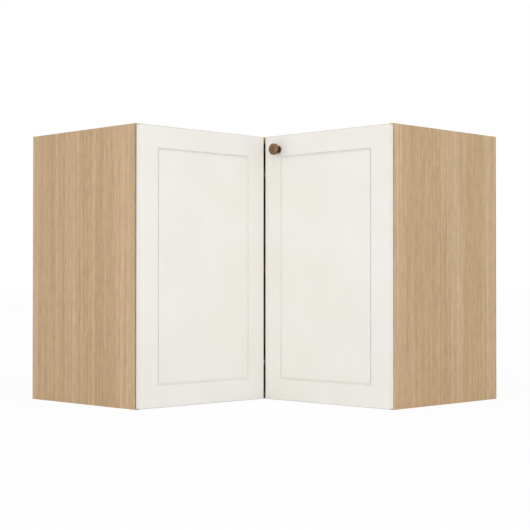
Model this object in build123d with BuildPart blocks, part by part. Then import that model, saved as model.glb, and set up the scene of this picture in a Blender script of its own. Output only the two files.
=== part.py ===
"""Corner base cabinet: an L-shaped carcass with a pair of framed doors that fold at the inner corner.

Millimetres. The origin is at the middle of the footprint on the floor, +Z is up, and the two
room walls stand at +X and +Y. The left arm runs along the +Y wall and its door faces -Y; the
right arm runs along the +X wall and its door faces -X. Most boards of the right arm are the
left arm's boards mirrored in the upright plane x = y. The left door hangs on the left flank and
carries the right door on two hinges at the inner corner, so one knob opens both.
"""
from build123d import *
import os

# Overall sizes
WALL_LENGTH = 900.0
HEIGHT = 720.0
CARCASS_DEPTH = 440.0

# Boards
BOARD = 18.0
BACK_THICKNESS = 3.0
BACK_SETBACK = 12.0
GROOVE_DEPTH = 8.0
FLOOR_GROOVE_DEPTH = 6.0
GROOVE_CLEARANCE = 0.2
BACK_TOP_GAP = 1.0
WORKTOP_HOLE_SETBACK = 50.0
BACK_RAIL_HEIGHT = 100.0
POST_WIDTH = 40.0

# Doors
DOOR_THICKNESS = 20.0
DOOR_GAP = 2.0
DOOR_REVEAL = 1.5
DOOR_TOP_GAP = 4.0
DOOR_BOTTOM_GAP = 3.0
DOOR_CORNER_GAP = 3.0
FRAME_WIDTH = 55.0
FIELD_DEPTH = 2.8
GROOVE_WIDTH = 5.5
GROOVE_FLOOR = 5.2
GROOVE_TAPER = 8.0
DOOR_EDGE_ROUND = 1.2
DOOR_HINGE_ROUND = 3.0

# Shelf and its pins
SHELF_TOP = 369.0
SHELF_SETBACK = 25.0
SHELF_CLEARANCE = 1.0
PEG_RADIUS = 2.4
PEG_HOLE_RADIUS = 2.5
PEG_LENGTH = 8.0
PEG_HOLE_DEPTH = 9.0
PEG_HEAD = (10.0, 8.0, 5.0)
PEG_PITCH = 32.0
PEG_ROWS = 7
PEG_INSET = 60.0

# Hidden fixings
CAM_RADIUS = 7.5
CAM_HEIGHT = 13.5
CAM_DISTANCE = 34.0
BOLT_RADIUS = 3.0
BOLT_BORE_RADIUS = 3.6
BOLT_THREAD_RADIUS = 2.5
BOLT_THREAD_LENGTH = 11.0
BOLT_HEAD_RADIUS = 3.4
BOLT_HEAD_LENGTH = 3.0
CAM_SLOT_RADIUS = 3.8
CAM_CROSS = (9.0, 1.6, 2.5)
DOWEL_RADIUS = 4.0
DOWEL_LENGTH = 30.0
DOWEL_IN_FACE = 11.0
FIT = 0.05
POST_SCREW_RADIUS = 2.5
POST_SCREW_LENGTH = 60.0
POST_SCREW_HEAD_RADIUS = 5.0
POST_SCREW_HEAD = 4.0
NAIL_RADIUS = 0.8
NAIL_LENGTH = 16.0
NAIL_HEAD_RADIUS = 2.0
NAIL_HEAD = 0.8
WORKTOP_HOLE_RADIUS = 2.5
WALL_HOLE_RADIUS = 4.0

# Concealed hinges: the same cup and plate hang the left door and fold the right one
HINGE_INSET = 97.0
CUP_BORE_RADIUS = 17.5
CUP_BORE_DEPTH = 14.0
CUP_EDGE_DISTANCE = 3.0
CUP_CLEARANCE = 0.1
CUP_WALL = 1.1
CUP_FLOOR = 0.8
FLANGE_THICKNESS = 1.0
FLANGE_LENGTH = 58.0
FLANGE_FRONT = 14.0
FLANGE_REAR = 15.0
CUP_SCREW_SPREAD = 22.5
CUP_SCREW_OFFSET = 9.5
PIN_RADIUS = 1.1
PIN_DEPTH = 10.5
PIN_FROM_EDGE = 8.3
KNUCKLE_RADIUS = 2.0
ARM_WIDTH = 12.0
ARM_STRAP = 2.5
ARM_NOSE = 2.0
ARM_CLOSED = 3.0
ARM_LENGTH = 58.0
ARM_HEIGHT = 7.0
ARM_WALL = 1.2
PLATE_THICKNESS = 2.0
PLATE_FRONT = 8.0
PLATE_LENGTH = 44.0
PLATE_WING_LENGTH = 14.0
PLATE_WING_SPAN = 46.0
PLATE_BED_WIDTH = 18.0
PLATE_SETBACK = 37.0
PLATE_SCREW_SPREAD = 16.0
BOSS_FRONT = 18.0
BOSS_HEIGHT = 5.5
BOSS_WIDTH = 9.0
BOSS_LENGTH = 30.0
ARM_SCREW_SPACING = 18.0
FOLD_CLEARANCE = 6.0
SCREW_RADIUS = 1.75
SCREW_HEAD_RADIUS = 3.2
SCREW_HEAD = 1.6
PLATE_SCREW_LENGTH = 14.0
CUP_SCREW_LENGTH = 12.0

# Knob
KNOB_FROM_FREE_EDGE = 51.0
KNOB_BELOW_DOOR_TOP = 37.0
KNOB_HEAD_RADIUS = 15.3
KNOB_STEM_RADIUS = 6.0
KNOB_PROJECTION = 25.5
KNOB_HEAD_THICKNESS = 10.0
KNOB_RIM = 3.5
KNOB_CROWN = 4.0
KNOB_BASE_RADIUS = 9.8
KNOB_BASE_THICKNESS = 4.0
KNOB_THREAD_RADIUS = 2.0
KNOB_THREAD_DEPTH = 12.0
KNOB_SCREW_HEAD_RADIUS = 4.5
KNOB_SCREW_HEAD = 2.5

# Bumpers
BUMPER_RADIUS = 4.0
BUMPER_THICKNESS = 1.6
BUMPER_FROM_FREE_EDGE = 40.0

# Places that follow from the sizes above
HALF = WALL_LENGTH / 2
FRONT = HALF - CARCASS_DEPTH
INSIDE = -HALF + BOARD
BACK_REAR = HALF - BACK_SETBACK
BACK_FACE = BACK_REAR - BACK_THICKNESS
NAIL_TIP = BACK_REAR - NAIL_LENGTH
RAIL_FACE = BACK_FACE - BOARD
POST_FACE = BACK_FACE - POST_WIDTH
POST_MIDDLE = BACK_FACE - POST_WIDTH / 2
TOP_UNDERSIDE = HEIGHT - BOARD
BACK_RAIL_MIDDLE = TOP_UNDERSIDE - BACK_RAIL_HEIGHT / 2
BOARD_MIDDLE = BOARD / 2
DOOR_BACK = FRONT - DOOR_GAP
DOOR_FRONT = DOOR_BACK - DOOR_THICKNESS
DOOR_EDGE = -HALF + DOOR_REVEAL
DOOR_FREE_EDGE = DOOR_FRONT - DOOR_CORNER_GAP
DOOR_BOTTOM = DOOR_BOTTOM_GAP
DOOR_TOP = HEIGHT - DOOR_TOP_GAP
DOOR_WIDTH = DOOR_FREE_EDGE - DOOR_EDGE
DOOR_HEIGHT = DOOR_TOP - DOOR_BOTTOM
DOOR_MIDDLE = (DOOR_EDGE + DOOR_FREE_EDGE) / 2
DOOR_MIDDLE_LEVEL = (DOOR_BOTTOM + DOOR_TOP) / 2
SHELF_BOTTOM = SHELF_TOP - BOARD
SHELF_FRONT = FRONT + SHELF_SETBACK
PEG_LEVEL = SHELF_BOTTOM - PEG_HEAD[2] / 2
PEG_COLUMNS = (FRONT + PEG_INSET, BACK_FACE - PEG_INSET)
CUP_MIDDLE = DOOR_EDGE + CUP_EDGE_DISTANCE + CUP_BORE_RADIUS
PIN_X = DOOR_EDGE + PIN_FROM_EDGE
PIN_Y = DOOR_BACK - PIN_DEPTH
CUP_RADIUS = CUP_BORE_RADIUS - CUP_CLEARANCE
PIN_HALF_LENGTH = (CUP_RADIUS**2 - (CUP_MIDDLE - PIN_X + PIN_RADIUS) ** 2) ** 0.5
HINGE_LEVELS = {"upper": DOOR_TOP - HINGE_INSET, "lower": DOOR_BOTTOM + HINGE_INSET}
CAM_MIDDLE = INSIDE + CAM_DISTANCE
WORKTOP_HOLES = (INSIDE + 0.3 * (FRONT - INSIDE), INSIDE + 0.75 * (FRONT - INSIDE))
WALL_HOLES = (INSIDE + 180.0, POST_FACE - 245.0)
NAIL_PLACES = (INSIDE + 90.0, INSIDE + 290.0, POST_FACE - 345.0, POST_FACE - 145.0)
POST_NAIL_LEVELS = (110.0, 310.0, 510.0)
KNOB_LEVEL = DOOR_TOP - KNOB_BELOW_DOOR_TOP
KNOB_ALONG = DOOR_FREE_EDGE - KNOB_FROM_FREE_EDGE

# The upright plane x = y, which carries the left arm onto the right one
DIAGONAL = Plane(origin=(0, 0, 0), x_dir=(0, 0, 1), z_dir=(1, -1, 0))

# The quarter turn that carries the left door to the right door's place, hinge side inwards
TURN = Location((0, DOOR_EDGE + DOOR_FREE_EDGE, 0), (0, 0, -90))

# The quarter turn that carries a plate from the left flank to the back of the left door
ONTO_DOOR = Location((DOOR_FREE_EDGE + FRONT, DOOR_BACK - INSIDE, 0), (0, 0, 90))

# Where the cam bolts and dowels stand on the left flank's inner face, as (y, z)
FLANK_BOLTS = (
    (FRONT + 50.0, BOARD_MIDDLE),
    (HALF - 50.0, BOARD_MIDDLE),
    (FRONT + 50.0, HEIGHT - BOARD_MIDDLE),
    (HALF - 50.0, HEIGHT - BOARD_MIDDLE),
    (BACK_FACE - BOARD_MIDDLE, BACK_RAIL_MIDDLE),
)
FLANK_DOWELS = (
    (FRONT + 110.0, BOARD_MIDDLE),
    (HALF - 110.0, BOARD_MIDDLE),
    (FRONT + 110.0, HEIGHT - BOARD_MIDDLE),
    (HALF - 110.0, HEIGHT - BOARD_MIDDLE),
    (BACK_FACE - BOARD_MIDDLE, BACK_RAIL_MIDDLE - 32.0),
    (BACK_FACE - BOARD_MIDDLE, BACK_RAIL_MIDDLE + 32.0),
)
# Dowels between a back rail and the post, as z
POST_DOWEL_LEVELS = (BACK_RAIL_MIDDLE - 32.0, BACK_RAIL_MIDDLE + 32.0)


def at_flank(y, z):
    """A plane on the left flank's inner face at (y, z) whose normal points into the cabinet."""
    return Plane(origin=(INSIDE, y, z), x_dir=(0, 1, 0), z_dir=(1, 0, 0))


def across(x, y, z):
    """A plane at a point whose normal is +X."""
    return Plane(origin=(x, y, z), x_dir=(0, 1, 0), z_dir=(1, 0, 0))


def along(x, y, z):
    """A plane at a point whose normal is +Y."""
    return Plane(origin=(x, y, z), x_dir=(-1, 0, 0), z_dir=(0, 1, 0))


def upright(x, y, z):
    """A plane at a point whose normal is +Z."""
    return Plane(origin=(x, y, z), x_dir=(1, 0, 0), z_dir=(0, 0, 1))


def outward(x, y, z):
    """A plane at a point whose normal is -Y, out of the left door's face."""
    return Plane(origin=(x, y, z), x_dir=(1, 0, 0), z_dir=(0, -1, 0))


def rod(plane, radius, length, start=0.0, mode=Mode.ADD):
    """A round rod on the plane's normal, in the part that is being built."""
    with BuildSketch(plane.offset(start)) as disc:
        Circle(radius)
    extrude(disc.sketch, amount=length, mode=mode)


def bar(low, high, mode=Mode.ADD):
    """A square-edged board between two corners, in the part that is being built."""
    with BuildSketch(Plane.XY.offset(low[2])) as plan:
        with Locations(((low[0] + high[0]) / 2, (low[1] + high[1]) / 2)):
            Rectangle(high[0] - low[0], high[1] - low[1])
    extrude(plan.sketch, amount=high[2] - low[2], mode=mode)


def corner_board(outline, bottom, thickness):
    """A flat board with a straight-sided outline, in the part that is being built."""
    with BuildSketch(Plane.XY.offset(bottom)) as plan:
        with BuildLine():
            Polyline(*outline, close=True)
        make_face()
    extrude(plan.sketch, amount=thickness)


def save(name, made):
    """Label a finished piece and write it under its own name."""
    made.part.label = name
    export_step(made.part, f"parts/{name}.step")


def mirrored(name, made):
    """The right arm's copy of a left arm piece."""
    with BuildPart() as copy:
        mirror(made.part, about=DIAGONAL)
    save(name, copy)
    return copy


def moved_copy(name, made, place):
    """A copy of a piece that is turned and moved to another place."""
    with BuildPart() as copy:
        with Locations(place):
            add(made.part)
    save(name, copy)
    return copy


os.makedirs("parts", exist_ok=True)

# Flanks: bolt holes, dowel holes, shelf holes and the groove for the back; the left one has the
# pilot holes of the hinge plates too
with BuildPart() as flank_board:
    bar((-HALF, FRONT, 0), (INSIDE, HALF, HEIGHT))
    bar(
        (INSIDE - GROOVE_DEPTH, BACK_FACE, 0),
        (INSIDE, BACK_REAR + GROOVE_CLEARANCE, HEIGHT),
        mode=Mode.SUBTRACT,
    )
    for y, z in FLANK_BOLTS:
        rod(at_flank(y, z), BOLT_THREAD_RADIUS + FIT, -BOLT_THREAD_LENGTH - FIT, mode=Mode.SUBTRACT)
    for y, z in FLANK_DOWELS:
        rod(at_flank(y, z), DOWEL_RADIUS + FIT, -DOWEL_IN_FACE - FIT, mode=Mode.SUBTRACT)
    for y in PEG_COLUMNS:
        for row in range(PEG_ROWS):
            z = PEG_LEVEL + (row - PEG_ROWS // 2) * PEG_PITCH
            rod(at_flank(y, z), PEG_HOLE_RADIUS, -PEG_HOLE_DEPTH, mode=Mode.SUBTRACT)

with BuildPart() as left_side_panel:
    add(flank_board.part)
    for level in HINGE_LEVELS.values():
        for side in (-PLATE_SCREW_SPREAD, PLATE_SCREW_SPREAD):
            rod(
                at_flank(FRONT + PLATE_SETBACK, level + side),
                SCREW_RADIUS + FIT,
                -PLATE_SCREW_LENGTH + PLATE_THICKNESS - FIT,
                mode=Mode.SUBTRACT,
            )
save("left_side_panel", left_side_panel)
right_side_panel = mirrored("right_side_panel", flank_board)


def end_bores(bolts, dowels):
    """Bores that run from the left flank into a board's end, as a cutter."""
    for y, z in bolts:
        rod(at_flank(y, z), BOLT_BORE_RADIUS, CAM_DISTANCE)
    for y, z in dowels:
        rod(at_flank(y, z), DOWEL_RADIUS + FIT, DOWEL_LENGTH - DOWEL_IN_FACE + FIT)


# Floor board: an L with grooves for both backs, cam bores from below and two post screw holes
with BuildPart() as floor_cuts:
    end_bores(FLANK_BOLTS[:2], FLANK_DOWELS[:2])
    for y, z in FLANK_BOLTS[:2]:
        rod(upright(CAM_MIDDLE, y, 0), CAM_RADIUS + FIT, CAM_HEIGHT + FIT)
    groove_rear = BACK_REAR + GROOVE_CLEARANCE
    bar((INSIDE, BACK_FACE, BOARD - FLOOR_GROOVE_DEPTH), (groove_rear, groove_rear, BOARD))

POST_SCREW_PLACES = (POST_MIDDLE - POST_WIDTH / 4, POST_MIDDLE + POST_WIDTH / 4)


def corner_outline(rear):
    """The L between the flanks, from their front edges back to a rear line."""
    return (
        (INSIDE, FRONT),
        (FRONT, FRONT),
        (FRONT, INSIDE),
        (rear, INSIDE),
        (rear, rear),
        (INSIDE, rear),
    )


with BuildPart() as bottom_panel:
    corner_board(corner_outline(HALF), 0, BOARD)
    add(floor_cuts.part, mode=Mode.SUBTRACT)
    mirror(floor_cuts.part, about=DIAGONAL, mode=Mode.SUBTRACT)
    for place in POST_SCREW_PLACES:
        hole = upright(place, place, 0)
        rod(hole, POST_SCREW_RADIUS + FIT, BOARD, mode=Mode.SUBTRACT)
        rod(hole, POST_SCREW_HEAD_RADIUS + FIT, POST_SCREW_HEAD + FIT, mode=Mode.SUBTRACT)
save("bottom_panel", bottom_panel)

# Top board: an L that stops at the backs, with cam bores from below and worktop screw holes
with BuildPart() as top_cuts:
    end_bores(FLANK_BOLTS[2:4], FLANK_DOWELS[2:4])
    for y, z in FLANK_BOLTS[2:4]:
        rod(upright(CAM_MIDDLE, y, TOP_UNDERSIDE), CAM_RADIUS + FIT, CAM_HEIGHT + FIT)
    for x in WORKTOP_HOLES:
        hole = upright(x, FRONT + WORKTOP_HOLE_SETBACK, TOP_UNDERSIDE)
        rod(hole, WORKTOP_HOLE_RADIUS, BOARD)

with BuildPart() as top_panel:
    corner_board(corner_outline(BACK_FACE), TOP_UNDERSIDE, BOARD)
    add(top_cuts.part, mode=Mode.SUBTRACT)
    mirror(top_cuts.part, about=DIAGONAL, mode=Mode.SUBTRACT)
    for place in POST_SCREW_PLACES:
        hole = upright(place, place, HEIGHT)
        rod(hole, POST_SCREW_RADIUS + FIT, -BOARD, mode=Mode.SUBTRACT)
        rod(hole, POST_SCREW_HEAD_RADIUS + FIT, -POST_SCREW_HEAD - FIT, mode=Mode.SUBTRACT)
save("top_panel", top_panel)

# Backs: thin boards in the grooves, with nail holes and wall screw holes; they meet in the corner
with BuildPart() as back_holes:
    for x in WALL_HOLES:
        rod(along(x, RAIL_FACE, BACK_RAIL_MIDDLE), WALL_HOLE_RADIUS, HALF - RAIL_FACE)
    for x in NAIL_PLACES:
        rod(along(x, NAIL_TIP - FIT, BACK_RAIL_MIDDLE), NAIL_RADIUS + FIT, NAIL_LENGTH + 1)
    for level in POST_NAIL_LEVELS:
        rod(along(POST_MIDDLE, NAIL_TIP - FIT, level), NAIL_RADIUS + FIT, NAIL_LENGTH + 1)

BACK_BOTTOM = BOARD - FLOOR_GROOVE_DEPTH
BACK_SIDE = INSIDE - GROOVE_DEPTH + GROOVE_CLEARANCE
BACK_TOP = HEIGHT - BACK_TOP_GAP

with BuildPart() as left_back_panel:
    bar((BACK_SIDE, BACK_FACE, BACK_BOTTOM), (BACK_REAR, BACK_REAR, BACK_TOP))
    add(back_holes.part, mode=Mode.SUBTRACT)
save("left_back_panel", left_back_panel)

with BuildPart() as right_back_panel:
    bar((BACK_FACE, BACK_SIDE, BACK_BOTTOM), (BACK_REAR, BACK_FACE, BACK_TOP))
    mirror(back_holes.part, about=DIAGONAL, mode=Mode.SUBTRACT)
save("right_back_panel", right_back_panel)

# Corner post: stands on the floor board behind the shelf and carries both back rails
with BuildPart() as post_cuts:
    rod(across(POST_FACE, POST_MIDDLE, PEG_LEVEL), PEG_HOLE_RADIUS, PEG_HOLE_DEPTH)
    for level in POST_DOWEL_LEVELS:
        place = across(POST_FACE, BACK_FACE - BOARD_MIDDLE, level)
        rod(place, DOWEL_RADIUS + FIT, DOWEL_IN_FACE + FIT)
    for level in POST_NAIL_LEVELS:
        rod(along(POST_MIDDLE, NAIL_TIP - FIT, level), NAIL_RADIUS + FIT, NAIL_LENGTH)

with BuildPart() as corner_post:
    bar((POST_FACE, POST_FACE, BOARD), (BACK_FACE, BACK_FACE, TOP_UNDERSIDE))
    add(post_cuts.part, mode=Mode.SUBTRACT)
    mirror(post_cuts.part, about=DIAGONAL, mode=Mode.SUBTRACT)
    for place in POST_SCREW_PLACES:
        depth = POST_SCREW_LENGTH - BOARD + FIT
        rod(upright(place, place, BOARD), POST_SCREW_RADIUS + FIT, depth, mode=Mode.SUBTRACT)
        from_above = upright(place, place, TOP_UNDERSIDE)
        rod(from_above, POST_SCREW_RADIUS + FIT, -depth, mode=Mode.SUBTRACT)
save("corner_post", corner_post)

# Back rails: upright boards between a flank and the post, cammed to the flank, dowelled to the post
with BuildPart() as back_rail_cuts:
    end_bores(FLANK_BOLTS[4:], FLANK_DOWELS[4:])
    rod(along(CAM_MIDDLE, RAIL_FACE, BACK_RAIL_MIDDLE), CAM_RADIUS + FIT, CAM_HEIGHT + FIT)
    for level in POST_DOWEL_LEVELS:
        place = across(POST_FACE, BACK_FACE - BOARD_MIDDLE, level)
        rod(place, DOWEL_RADIUS + FIT, DOWEL_IN_FACE - DOWEL_LENGTH - FIT)

with BuildPart() as left_back_rail:
    rail_bottom = TOP_UNDERSIDE - BACK_RAIL_HEIGHT
    bar((INSIDE, RAIL_FACE, rail_bottom), (POST_FACE, BACK_FACE, TOP_UNDERSIDE))
    add(back_rail_cuts.part, mode=Mode.SUBTRACT)
    add(back_holes.part, mode=Mode.SUBTRACT)
save("left_back_rail", left_back_rail)

right_back_rail = mirrored("right_back_rail", left_back_rail)

# Shelf: an L that stops short of the backs and is notched round the post
SHELF_SIDE = INSIDE + SHELF_CLEARANCE
SHELF_REAR = BACK_FACE - SHELF_CLEARANCE
SHELF_NOTCH = POST_FACE - SHELF_CLEARANCE

with BuildPart() as shelf:
    corner_board(
        (
            (SHELF_SIDE, SHELF_FRONT),
            (SHELF_FRONT, SHELF_FRONT),
            (SHELF_FRONT, SHELF_SIDE),
            (SHELF_REAR, SHELF_SIDE),
            (SHELF_REAR, SHELF_NOTCH),
            (SHELF_NOTCH, SHELF_NOTCH),
            (SHELF_NOTCH, SHELF_REAR),
            (SHELF_SIDE, SHELF_REAR),
        ),
        SHELF_BOTTOM,
        BOARD,
    )
save("shelf", shelf)

# Shelf pins: a round peg in the board with a flat-topped nose under the shelf
with BuildPart() as left_pins:
    reach, width, height = PEG_HEAD
    for y in PEG_COLUMNS:
        rod(at_flank(y, PEG_LEVEL), PEG_RADIUS, -PEG_LENGTH)
        bar(
            (INSIDE, y - width / 2, PEG_LEVEL - height / 2),
            (INSIDE + reach, y + width / 2, PEG_LEVEL + height / 2),
        )
    rod(across(POST_FACE, POST_MIDDLE, PEG_LEVEL), PEG_RADIUS, PEG_LENGTH)
    bar(
        (POST_FACE - reach, POST_MIDDLE - width / 2, PEG_LEVEL - height / 2),
        (POST_FACE, POST_MIDDLE + width / 2, PEG_LEVEL + height / 2),
    )


def both_arms(name, made):
    """One node that holds the left arm's small pieces and their mirrored twins."""
    with BuildPart() as pair:
        add(made.part)
        mirror(made.part, about=DIAGONAL)
    save(name, pair)
    return pair


shelf_pins = both_arms("shelf_pins", left_pins)

# Cam bolts: screwed into the flank, with a round head that the cam draws in
with BuildPart() as left_bolts:
    for y, z in FLANK_BOLTS:
        rod(at_flank(y, z), BOLT_THREAD_RADIUS, -BOLT_THREAD_LENGTH)
        rod(at_flank(y, z), BOLT_RADIUS, CAM_DISTANCE)
        rod(at_flank(y, z), BOLT_HEAD_RADIUS, BOLT_HEAD_LENGTH, start=CAM_DISTANCE - BOLT_HEAD_LENGTH)
cam_bolts = both_arms("cam_bolts", left_bolts)

# Cam locks: drums with a cross recess on the face and a slot that takes the bolt's head
CAM_PLACES = (
    upright(CAM_MIDDLE, FLANK_BOLTS[0][0], 0),
    upright(CAM_MIDDLE, FLANK_BOLTS[1][0], 0),
    upright(CAM_MIDDLE, FLANK_BOLTS[2][0], TOP_UNDERSIDE),
    upright(CAM_MIDDLE, FLANK_BOLTS[3][0], TOP_UNDERSIDE),
    along(CAM_MIDDLE, RAIL_FACE, BACK_RAIL_MIDDLE),
)

with BuildPart() as left_locks:
    for place in CAM_PLACES:
        rod(place, CAM_RADIUS, CAM_HEIGHT)
        with BuildSketch(place):
            Rectangle(CAM_CROSS[0], CAM_CROSS[1])
            Rectangle(CAM_CROSS[1], CAM_CROSS[0])
        extrude(amount=CAM_CROSS[2], mode=Mode.SUBTRACT)
    for y, z in FLANK_BOLTS:
        slot_start = CAM_DISTANCE - CAM_RADIUS - 1
        slot_length = CAM_RADIUS + 1 + FIT
        rod(at_flank(y, z), CAM_SLOT_RADIUS, slot_length, start=slot_start, mode=Mode.SUBTRACT)
cam_locks = both_arms("cam_locks", left_locks)

# Dowels: beech pins in every joint between two boards
with BuildPart() as left_dowels:
    for y, z in FLANK_DOWELS:
        rod(at_flank(y, z), DOWEL_RADIUS, DOWEL_LENGTH, start=-DOWEL_IN_FACE)
    for level in POST_DOWEL_LEVELS:
        place = across(POST_FACE, BACK_FACE - BOARD_MIDDLE, level)
        rod(place, DOWEL_RADIUS, DOWEL_LENGTH, start=DOWEL_IN_FACE - DOWEL_LENGTH)

dowels = both_arms("dowels", left_dowels)

# Post screws: through the floor board and the top board, heads sunk in their outer faces
with BuildPart() as post_screws:
    for place in POST_SCREW_PLACES:
        rod(upright(place, place, 0), POST_SCREW_HEAD_RADIUS, POST_SCREW_HEAD)
        rod(upright(place, place, 0), POST_SCREW_RADIUS, POST_SCREW_LENGTH)
        rod(upright(place, place, HEIGHT), POST_SCREW_HEAD_RADIUS, -POST_SCREW_HEAD)
        rod(upright(place, place, HEIGHT), POST_SCREW_RADIUS, -POST_SCREW_LENGTH)
save("post_screws", post_screws)

# Back nails: through each back into the rail and into the post
with BuildPart() as left_nails:
    for x, z in [(x, BACK_RAIL_MIDDLE) for x in NAIL_PLACES] + [
        (POST_MIDDLE, level) for level in POST_NAIL_LEVELS
    ]:
        rod(along(x, NAIL_TIP, z), NAIL_RADIUS, NAIL_LENGTH)
        rod(along(x, BACK_REAR, z), NAIL_HEAD_RADIUS, NAIL_HEAD)
back_nails = both_arms("back_nails", left_nails)

# Doors: one-piece frames with a sunk field inside a groove, bored from behind for the cups
FIELD_WIDTH = DOOR_WIDTH - 2 * FRAME_WIDTH
FIELD_HEIGHT = DOOR_HEIGHT - 2 * FRAME_WIDTH
FIELD_RISE = GROOVE_FLOOR - FIELD_DEPTH

with BuildPart() as field_block:
    with BuildSketch(outward(DOOR_MIDDLE, DOOR_FRONT + GROOVE_FLOOR, DOOR_MIDDLE_LEVEL)):
        Rectangle(FIELD_WIDTH - 2 * GROOVE_WIDTH, FIELD_HEIGHT - 2 * GROOVE_WIDTH)
    extrude(amount=FIELD_RISE, taper=GROOVE_TAPER)

with BuildPart() as door_cuts:
    with BuildSketch(along(DOOR_MIDDLE, DOOR_FRONT, DOOR_MIDDLE_LEVEL)):
        Rectangle(FIELD_WIDTH, FIELD_HEIGHT)
    extrude(amount=GROOVE_FLOOR, taper=GROOVE_TAPER)
    add(field_block.part, mode=Mode.SUBTRACT)
    for level in HINGE_LEVELS.values():
        rod(outward(CUP_MIDDLE, DOOR_BACK, level), CUP_BORE_RADIUS, CUP_BORE_DEPTH)
        for side in (-CUP_SCREW_SPREAD, CUP_SCREW_SPREAD):
            hole = outward(CUP_MIDDLE + CUP_SCREW_OFFSET, DOOR_BACK, level + side)
            rod(hole, SCREW_RADIUS + FIT, CUP_SCREW_LENGTH - FLANGE_THICKNESS + FIT)

with BuildPart() as door_board:
    bar((DOOR_EDGE, DOOR_FRONT, DOOR_BOTTOM), (DOOR_FREE_EDGE, DOOR_BACK, DOOR_TOP))
    fillet(door_board.faces().sort_by(Axis.Y)[0].edges(), DOOR_EDGE_ROUND)
    hinge_arris = door_board.faces().sort_by(Axis.Y)[-1].edges().sort_by(Axis.X)[0]
    fillet(hinge_arris, DOOR_HINGE_ROUND)
    add(door_cuts.part, mode=Mode.SUBTRACT)

with BuildPart() as left_door_panel:
    add(door_board.part)
    for level in HINGE_LEVELS.values():
        for side in (-PLATE_SCREW_SPREAD, PLATE_SCREW_SPREAD):
            pilot = along(DOOR_FREE_EDGE - PLATE_SETBACK, DOOR_BACK, level + side)
            depth = PLATE_SCREW_LENGTH - PLATE_THICKNESS + FIT
            rod(pilot, SCREW_RADIUS + FIT, -depth, mode=Mode.SUBTRACT)
save("left_door_panel", left_door_panel)

with BuildPart() as right_door_panel:
    with Locations(TURN):
        add(door_board.part)
    knob_hole = across(DOOR_FRONT, KNOB_ALONG, KNOB_LEVEL)
    rod(knob_hole, KNOB_THREAD_RADIUS + FIT, DOOR_THICKNESS, mode=Mode.SUBTRACT)
save("right_door_panel", right_door_panel)

# Door bumpers: small round pads between a door's back and the carcass edges
with BuildPart() as left_door_bumpers:
    for level in ((DOOR_BOTTOM + BOARD) / 2, (TOP_UNDERSIDE + DOOR_TOP) / 2):
        place = along(DOOR_FREE_EDGE - BUMPER_FROM_FREE_EDGE, DOOR_BACK, level)
        rod(place, BUMPER_RADIUS, BUMPER_THICKNESS)
save("left_door_bumpers", left_door_bumpers)
right_door_bumpers = moved_copy("right_door_bumpers", left_door_bumpers, TURN)

# Hinges: a cup and its pin in the door, an arm on the pin, and a plate on the flank
ARM_TOP = INSIDE + PLATE_THICKNESS + ARM_HEIGHT
ARM_FRONT = FRONT + ARM_NOSE
ARM_SCREW_PLACES = (
    FRONT + BOSS_FRONT + BOSS_LENGTH / 2 - ARM_SCREW_SPACING / 2,
    FRONT + BOSS_FRONT + BOSS_LENGTH / 2 + ARM_SCREW_SPACING / 2,
)


def hinge_cup(name, level):
    """The round cup that is pressed into the door, with a flange that is screwed on."""
    mouth = outward(CUP_MIDDLE, DOOR_BACK, level)
    depth = CUP_BORE_DEPTH - CUP_CLEARANCE
    with BuildPart() as cup:
        rod(mouth, CUP_RADIUS, depth)
        with BuildSketch(mouth):
            with Locations(((FLANGE_REAR - FLANGE_FRONT) / 2, 0)):
                RectangleRounded(FLANGE_REAR + FLANGE_FRONT, FLANGE_LENGTH, 5)
        extrude(amount=-FLANGE_THICKNESS)
        inside = depth - CUP_FLOOR + FLANGE_THICKNESS
        rod(mouth, CUP_RADIUS - CUP_WALL, inside, start=-FLANGE_THICKNESS, mode=Mode.SUBTRACT)
        for side in (-CUP_SCREW_SPREAD, CUP_SCREW_SPREAD):
            hole = outward(CUP_MIDDLE + CUP_SCREW_OFFSET, DOOR_BACK, level + side)
            rod(hole, SCREW_RADIUS + FIT, -FLANGE_THICKNESS, mode=Mode.SUBTRACT)
        pin_hole = upright(PIN_X, PIN_Y, level - CUP_BORE_RADIUS)
        rod(pin_hole, PIN_RADIUS + FIT, 2 * CUP_BORE_RADIUS, mode=Mode.SUBTRACT)
    save(name, cup)
    return cup


def hinge_pin(name, level):
    """The pivot pin across the cup."""
    with BuildPart() as pin:
        rod(upright(PIN_X, PIN_Y, level - PIN_HALF_LENGTH), PIN_RADIUS, 2 * PIN_HALF_LENGTH)
    save(name, pin)
    return pin


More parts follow.
